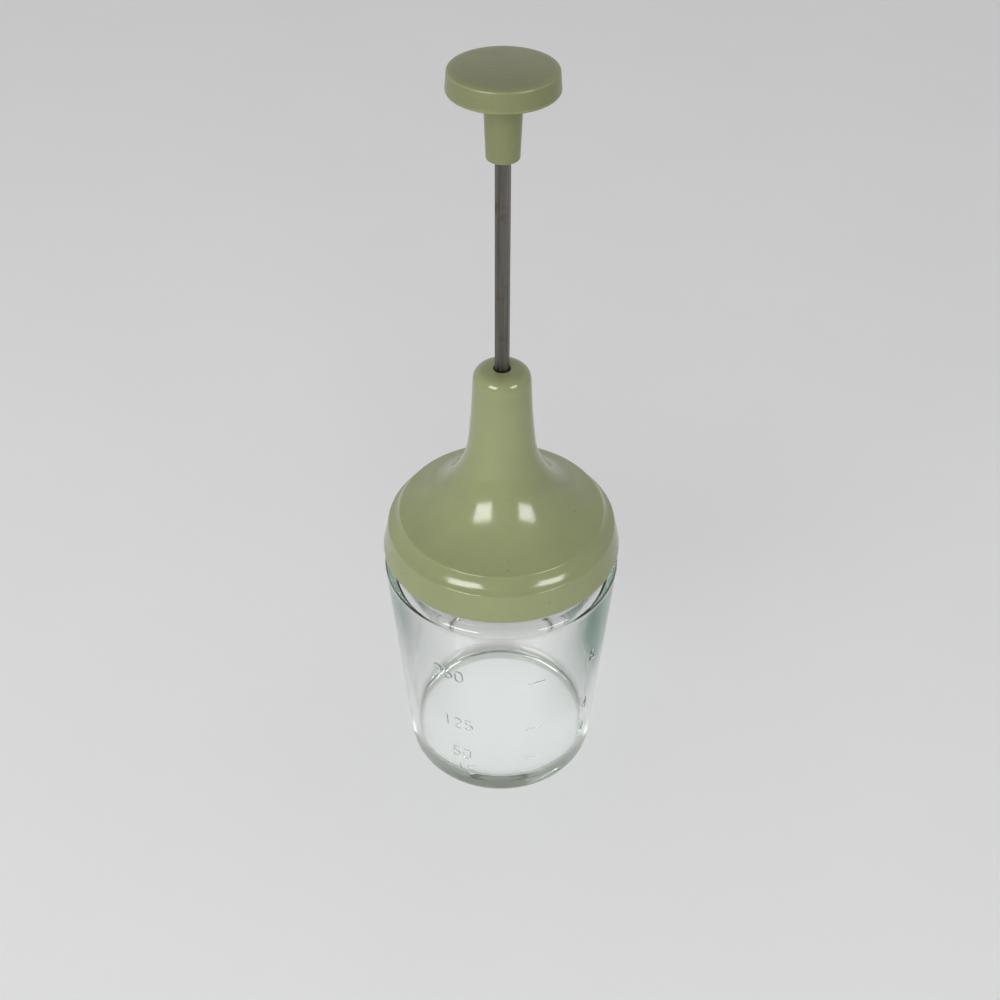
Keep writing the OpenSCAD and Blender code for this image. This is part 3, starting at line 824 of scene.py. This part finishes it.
class LidShape:
    """Radii and heights of the lid, in millimetres."""
    rim_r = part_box("lid")[1].x / MM
    rim_z = low_z("lid")
    edge_r = 41.4
    edge_z = 114.6
    crease_r = 37.15
    crease_z = 120.15
    neck_foot_r = 11.8
    neck_foot_z = 151.4
    neck_slope = 0.112
    neck_curve = 0.00331
    neck_bend_z = 168
    neck_top_slope = 0.05
    neck_rows = range(153, 177, 2)
    inner_rows = range(176, 152, -4)
    top_z = high_z("lid")
    neck_round = 4.5
    hole_r = 2.9
    hole_round = 0.35
    roof_z = 179.2
    roof_round = 0.8
    skirt_in_r = 40.0
    ledge_z = 113
    rim_round = 0.8
    inner_round = 0.3
    bead_r = 39.1
    bead_top_z = 111.9
    bead_side = 0.7
    bead_low_z = 110.3
    grime = 1.6
    # Points along the bell, its inside and the band between the creases
    bell_steps = 56
    inner_steps = 40
    band_steps = 14

    @classmethod
    def neck_r(cls, z):
        """Outer radius of the neck at a height: it curves in, then runs nearly straight."""
        rise = min(z, cls.neck_bend_z) - cls.neck_foot_z
        curved = cls.neck_foot_r - cls.neck_slope * rise + cls.neck_curve * rise ** 2 / 2
        return curved - cls.neck_top_slope * max(0, z - cls.neck_bend_z)


class CHOPPER_OT_lid(bpy.types.Operator):
    """Model the lid: skirt, hollow band, bell, neck and thread"""
    bl_idname = "chopper.lid"
    bl_label = "Lid"

    def execute(self, context):
        lid = context.scene.chopper_lid
        shape = LidShape
        wall, crease = lid.wall / MM, lid.crease / MM
        lean = math.atan(shape.neck_slope)
        foot = Vector((shape.neck_foot_r, shape.neck_foot_z))
        across = Vector((math.cos(lean), math.sin(lean)))
        ridge_point = Vector((shape.crease_r, shape.crease_z))
        chord = ridge_point - foot
        radius = chord.length_squared / (2 * chord.dot(across))
        centre = foot + radius * across
        first = 180 + math.degrees(lean)
        last = 360 + math.degrees(math.atan2(ridge_point.y - centre.y, ridge_point.x - centre.x))

        bell = arc(centre, radius, first, last, shape.bell_steps)
        band = bowed((shape.edge_r, shape.edge_z), ridge_point, lid.hollow / MM, shape.band_steps)
        corners = [
            (shape.skirt_in_r, shape.rim_z + 1, 0),
            (shape.skirt_in_r, shape.rim_z, 0.4),
            (shape.rim_r, shape.rim_z, shape.rim_round),
            (shape.edge_r, shape.edge_z, crease)]
        corners += [(r, z, 0) for r, z in band[3:-2]]
        corners += [(shape.crease_r, shape.crease_z, crease)]
        corners += [(r, z, 0) for r, z in reversed(bell[:-2])]
        corners += [(shape.neck_r(z), z, 0) for z in shape.neck_rows]
        corners += [
            (shape.neck_r(shape.top_z), shape.top_z, shape.neck_round),
            (shape.hole_r, shape.top_z, shape.hole_round),
            (shape.hole_r, shape.roof_z, shape.inner_round),
            (shape.neck_r(shape.roof_z) - wall, shape.roof_z, shape.roof_round)]
        corners += [(shape.neck_r(z) - wall, z, 0) for z in shape.inner_rows]
        inner_bell = arc(centre, radius + wall, first, last, shape.inner_steps)
        corners += [(r, z, 0) for r, z in inner_bell]
        corners += [
            (inner_bell[-1][0], shape.ledge_z, shape.inner_round),
            (shape.skirt_in_r, shape.ledge_z, 0.2),
            (shape.skirt_in_r, shape.bead_top_z, 0.1),
            (shape.bead_r, shape.bead_top_z, shape.inner_round),
            (shape.bead_r, shape.bead_top_z - shape.bead_side, shape.inner_round),
            (shape.skirt_in_r, shape.bead_low_z, 0)]
        piece = turned("lid_shell", rounded(corners), closed=True)
        thread = ridge(
            "lid_thread", thread_section(shape.skirt_in_r, -1, LID_THREAD_Z), LID_THREAD_TURN,
            FULL_TURN, THREAD_LEAD * MM, THREAD_STEPS, -THREAD_SINK)
        combine(piece, thread, "UNION")
        grime = ((shape.top_z - shape.grime) * MM, shape.top_z * MM, 0.3)
        material = green_plastic("lid_green", lid.shade, 0.12, 0.2, 0.03, grime)
        dress(piece, "lid", "green_plastic", material, "lid")
        return {"FINISHED"}


class KnobShape:
    """Radii and heights of the knob, in millimetres."""
    foot_z = low_z("knob")
    top_z = high_z("knob")
    foot_r = 5.2
    stem_r = 6.15
    rim_z = 278.6
    rim_r = 17.05
    edge_r = 16.45
    edge_z = 285.2
    hollow = 3
    hollow_draft = 0.6
    hollow_round = 1.2
    rim_width = 2.4
    foot_round = 0.5
    edge_round = 0.8
    dome_steps = 20
    # Heights where the grime on top starts and is full, and of the two edges that get a painted highlight
    grime_z = (edge_z - 0.1, edge_z + 0.2)
    highlit_edges_z = (edge_z - 0.3, rim_z + 0.7)


ROD_TURN = math.radians(16)
ROD_TOP_Z = 279.6
PIN_SIDES = 32
PIN_REACH = 20 * MM


def six_sided(name, flats, low, high):
    """A six-sided bar on the upright axis, turned as the rod is."""
    bpy.ops.object.select_all(action="DESELECT")
    bpy.ops.mesh.primitive_cylinder_add(
        vertices=6, radius=flats / math.sqrt(3), depth=(high - low) * MM,
        location=(0, 0, (low + high) / 2 * MM), rotation=(0, 0, ROD_TURN - FULL_TURN / 4))
    bar = bpy.context.object
    bar.name = name
    bar.data.name = name
    bpy.ops.object.transform_apply(location=True, rotation=True, scale=True)
    return bar


class CHOPPER_OT_knob(bpy.types.Operator):
    """Model the mushroom knob with its tapered stem and the rod's socket"""
    bl_idname = "chopper.knob"
    bl_label = "Knob"

    def execute(self, context):
        plunger = context.scene.chopper_plunger
        shape = KnobShape
        dome = shape.top_z - shape.edge_z
        dome_r = (shape.edge_r ** 2 + dome ** 2) / (2 * dome)
        reach = math.degrees(math.asin(shape.edge_r / dome_r))
        top = arc((0, shape.top_z - dome_r), dome_r, 90 - reach, 90, shape.dome_steps)
        inner_r = shape.rim_r - shape.rim_width
        hollow_z = shape.rim_z + shape.hollow
        corners = [
            (0, shape.foot_z, 0), (2, shape.foot_z, 0),
            (shape.foot_r, shape.foot_z, shape.foot_round),
            (shape.stem_r, hollow_z, shape.hollow_round),
            (inner_r - shape.hollow_draft, hollow_z, shape.hollow_round), (inner_r, shape.rim_z, 0.6),
            (shape.rim_r, shape.rim_z, shape.edge_round),
            (shape.edge_r, shape.edge_z, shape.edge_round)]
        corners += [(r, z, 0) for r, z in top[2:]]
        piece = turned("knob_body", rounded(corners), closed=False)
        socket = six_sided("socket", plunger.rod_flats, shape.foot_z - 1, ROD_TOP_Z)
        combine(piece, socket, "DIFFERENCE")
        grime = (*(z * MM for z in shape.grime_z), 0.33)
        # Painted highlight along the knob's top edge and its rim, as a paler line
        highlit_edges = [z * MM for z in shape.highlit_edges_z]
        material = green_plastic("knob_green", plunger.knob_shade, 0.26, 0.4, 0.02, grime, highlit_edges)
        dress(piece, "plunger", "green_plastic", material, "knob")
        return {"FINISHED"}


class CHOPPER_OT_rod(bpy.types.Operator):
    """Model the six-sided rod with its bevelled edges and cross holes"""
    bl_idname = "chopper.rod"
    bl_label = "Plunger Rod"

    def execute(self, context):
        plunger = context.scene.chopper_plunger
        piece = six_sided("rod", plunger.rod_flats, low_z("plunger_rod"), high_z("plunger_rod"))
        bpy.ops.object.mode_set(mode="EDIT")
        bpy.ops.mesh.select_all(action="SELECT")
        bpy.ops.mesh.bevel(offset=plunger.rod_edge, segments=3, affect="EDGES")
        close_mesh()
        bpy.ops.object.mode_set(mode="OBJECT")
        for pin in ("cup_pin", "hub_pin"):
            low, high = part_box(pin)
            bpy.ops.mesh.primitive_cylinder_add(
                vertices=PIN_SIDES, radius=(high.z - low.z) / 2, depth=PIN_REACH,
                location=(low + high) / 2, rotation=(FULL_TURN / 4, 0, ROD_TURN))
            combine(piece, bpy.context.object, "DIFFERENCE")
        material = drawn_steel("rod_steel", plunger.rod_shade, 0.3, 0.55, (700, 700, 14), 0.5)
        dress(piece, "plunger", "rod_steel", material, "plunger_rod")
        return {"FINISHED"}


class SpringShape:
    """The conical spring's turns, in millimetres."""
    base_r = 15.33
    growth = 1.5
    turns = 7
    flat_turns = 0.75
    points = 40
    shut = 2.7


class CHOPPER_OT_spring(bpy.types.Operator):
    """Model the conical return spring"""
    bl_idname = "chopper.spring"
    bl_label = "Return Spring"

    def execute(self, context):
        wire = context.scene.chopper_plunger.wire
        shape = SpringShape
        low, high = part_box("return_spring")
        places = []
        for i in range(shape.turns * shape.points + 1):
            turn = i / shape.points
            rise = (turn - shape.flat_turns) / (shape.turns - 2 * shape.flat_turns)
            rise = max(0, min(1, rise))
            radius = (shape.base_r - shape.growth * turn) * MM
            z = low.z + wire / 2 + (high.z - low.z - wire) * rise
            places.append((
                radius * math.cos(FULL_TURN * turn), radius * math.sin(FULL_TURN * turn), z))
        start_line("spring", places[0])
        draw_line(places)
        leave_edit()
        piece = tube(wire)
        material = drawn_steel("spring_wire", (0.5, 0.51, 0.52), 0.2, 0.4, (300, 300, 300), 0.15)
        dress(piece, "lid", "spring_steel", material, "return_spring")
        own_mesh(piece)
        return {"FINISHED"}


class GuardShape:
    """Radii and heights of the spring guard, in millimetres."""
    sheet = 1
    hole_r = 4.56
    bowl_r = 33.5
    floor_r = 32.5
    flange_r = 39.65
    floor_round = 2
    rim_round = 0.8
    low_z = low_z("spring_guard")
    top_z = high_z("spring_guard")


class CHOPPER_OT_guard(bpy.types.Operator):
    """Model the pressed bowl that closes the lid and carries the spring"""
    bl_idname = "chopper.guard"
    bl_label = "Spring Guard"

    def execute(self, context):
        shape = GuardShape
        flange_z = shape.top_z - shape.sheet
        floor_z = shape.low_z + shape.sheet
        corners = [
            (shape.hole_r, floor_z, 0), (shape.hole_r, shape.low_z, 0.1),
            (shape.floor_r, shape.low_z, shape.floor_round), (shape.bowl_r, flange_z, 0.6),
            (shape.flange_r, flange_z, 0.2), (shape.flange_r, shape.top_z, 0.2),
            (shape.bowl_r - shape.sheet, shape.top_z, shape.rim_round),
            (shape.floor_r - shape.sheet, floor_z, shape.floor_round - shape.sheet)]
        points = rounded(corners + [(shape.hole_r + 1, floor_z, 0)])
        piece = turned("guard_bowl", points, closed=True)
        dress(piece, "lid", "guard_aluminium", spun_aluminium(), "spring_guard")
        return {"FINISHED"}


class CHOPPER_OT_fittings(bpy.types.Operator):
    """Finish the blades, hub, pins, cup, bush and seal"""
    bl_idname = "chopper.fittings"
    bl_label = "Small Fittings"

    def execute(self, context):
        blade = drawn_steel("blade_steel", (0.58, 0.59, 0.6), 0.18, 0.32, (60, 60, 1200), 0.1)
        for k in range(1, 5):
            paint(f"blade_{k}", blade)
        pin = drawn_steel("pin_steel", (0.5, 0.51, 0.52), 0.22, 0.4, (300, 300, 300), 0.1)
        for node in ("cup_pin", "hub_pin", "spring_cup"):
            paint(node, pin)
        paint("blade_hub", dull_moulding("hub_nylon", (0.03, 0.03, 0.03), 0.38))
        paint("guide_bush", dull_moulding("bush_nylon", (0.72, 0.7, 0.64), 0.35))
        paint("lid_seal", dull_moulding("seal_rubber", (0.55, 0.53, 0.47), 0.55))
        return {"FINISHED"}


CAMERA_PLACE = (-0.00055, -0.3714, 0.4423)
CAMERA_PITCH = math.radians(49.34)
CAMERA_ROLL = math.radians(0.2)
# Each window: the angles from the front and up at its middle, and its width and height in metres
WINDOW_DISTANCE = 1.4
WINDOWS = ((-36.5, 29.5, 0.72, 0.45), (49, 29, 0.58, 0.39))
FLOOR_SIZE = 6
TARGET = Vector((0, 0, 0.14))
SOFTBOX_PLACE = (-0.5, -1.45, 0.95)
SOFTBOX_SIZE = (2.2, 1.2)
# Light meets many faces inside thick glass before it leaves
LIGHT_BOUNCES = 32


class CHOPPER_OT_stage(bpy.types.Operator):
    """Set the pale floor, the soft light and the camera"""
    bl_idname = "chopper.stage"
    bl_label = "Stage"

    def execute(self, context):
        stage = context.scene.chopper_stage
        bpy.ops.object.select_all(action="DESELECT")
        bpy.ops.mesh.primitive_plane_add(size=FLOOR_SIZE)
        floor = context.object
        floor.name = "floor"
        material, tree, shader, place = new_material("pale_floor", Roughness=0.6)
        clouds = ramp(tree, noise(tree, place, 9, 3), 0.3, 0.7)
        body = mix_colour(
            tree, clouds, scaled(tuple(stage.floor_shade), 0.985), tuple(stage.floor_shade))
        link(tree, body, shader.inputs["Base Color"])
        floor.data.materials.append(material)

        for degrees, up, width, height in WINDOWS:
            turn, rise = math.radians(degrees), math.radians(up)
            away = Vector((
                math.sin(turn) * math.cos(rise), -math.cos(turn) * math.cos(rise), math.sin(rise)))
            bpy.ops.object.light_add(type="AREA", location=TARGET + away * WINDOW_DISTANCE)
            lamp = context.object
            lamp.name = "window"
            lamp.rotation_euler = away.to_track_quat("Z", "Y").to_euler()
            lamp.data.shape = "RECTANGLE"
            lamp.data.size = width
            lamp.data.size_y = height
            lamp.data.energy = stage.window_light * math.pi * width * height
            lamp.visible_diffuse = False
        bpy.ops.object.light_add(type="AREA", location=SOFTBOX_PLACE)
        lamp = context.object
        lamp.name = "softbox"
        lamp.rotation_euler = (Vector(SOFTBOX_PLACE) - TARGET).to_track_quat("Z", "Y").to_euler()
        lamp.data.shape = "RECTANGLE"
        lamp.data.size, lamp.data.size_y = SOFTBOX_SIZE
        lamp.data.energy = stage.softbox_light * math.pi * SOFTBOX_SIZE[0] * SOFTBOX_SIZE[1]
        lamp.visible_glossy = False
        lamp.visible_transmission = False

        world = context.scene.world or bpy.data.worlds.new("sky")
        context.scene.world = world
        world.use_nodes = True
        tree = world.node_tree
        direction = tree.nodes.new("ShaderNodeTexCoord").outputs["Generated"]
        split = tree.nodes.new("ShaderNodeSeparateXYZ")
        link(tree, direction, split.inputs[0])
        front = ramp(tree, split.outputs["Y"], -0.9, 0.2)
        sky = mix_colour(tree, front, (0.45, 0.45, 0.45), (1.2, 1.2, 1.2))
        high = ramp(tree, split.outputs["Z"], 0.3, 0.9)
        sky = mix_colour(tree, high, sky, (0.8, 0.8, 0.8))
        background = tree.nodes["Background"]
        link(tree, sky, background.inputs["Color"])
        background.inputs["Strength"].default_value = stage.sky_light

        bpy.ops.object.camera_add(location=CAMERA_PLACE)
        camera = context.object
        turn = Matrix.Rotation(CAMERA_PITCH, 3, "X") @ Matrix.Rotation(CAMERA_ROLL, 3, "Z")
        camera.rotation_euler = turn.to_euler()
        camera.data.lens = stage.lens
        context.scene.camera = camera
        context.scene.view_settings.view_transform = "Standard"
        context.scene.cycles.max_bounces = LIGHT_BOUNCES
        context.scene.cycles.transmission_bounces = LIGHT_BOUNCES
        context.scene.cycles.glossy_bounces = LIGHT_BOUNCES
        return {"FINISHED"}


OPERATORS = (
    CHOPPER_OT_jar, CHOPPER_OT_lid, CHOPPER_OT_knob, CHOPPER_OT_rod, CHOPPER_OT_spring,
    CHOPPER_OT_guard, CHOPPER_OT_fittings, CHOPPER_OT_stage)
SETTINGS = {
    "chopper_jar": JarSettings, "chopper_lid": LidSettings,
    "chopper_plunger": PlungerSettings, "chopper_stage": StageSettings}


class CHOPPER_PT_panel(bpy.types.Panel):
    """The chopper's settings and pieces"""
    bl_idname = "CHOPPER_PT_panel"
    bl_label = "Nut Chopper"
    bl_space_type = "VIEW_3D"
    bl_region_type = "UI"
    bl_category = "Chopper"

    def draw(self, context):
        for key, group in SETTINGS.items():
            box = self.layout.box()
            for name in group.__annotations__:
                box.prop(getattr(context.scene, key), name)
        for operator in OPERATORS:
            self.layout.operator(operator.bl_idname)


def register():
    """Adds the settings, the operators and the panel."""
    for group in SETTINGS.values():
        bpy.utils.register_class(group)
    for key, group in SETTINGS.items():
        setattr(bpy.types.Scene, key, PointerProperty(type=group))
    for operator in OPERATORS:
        bpy.utils.register_class(operator)
    bpy.utils.register_class(CHOPPER_PT_panel)


def unregister():
    """Takes the panel, the operators and the settings out again."""
    bpy.utils.unregister_class(CHOPPER_PT_panel)
    for operator in reversed(OPERATORS):
        bpy.utils.unregister_class(operator)
    for key, group in SETTINGS.items():
        delattr(bpy.types.Scene, key)
        bpy.utils.unregister_class(group)


def main():
    """Builds every piece and the stage in order."""
    register()
    for operator in OPERATORS:
        category, name = operator.bl_idname.split(".")
        getattr(getattr(bpy.ops, category), name)()


if __name__ == "__main__":
    main()
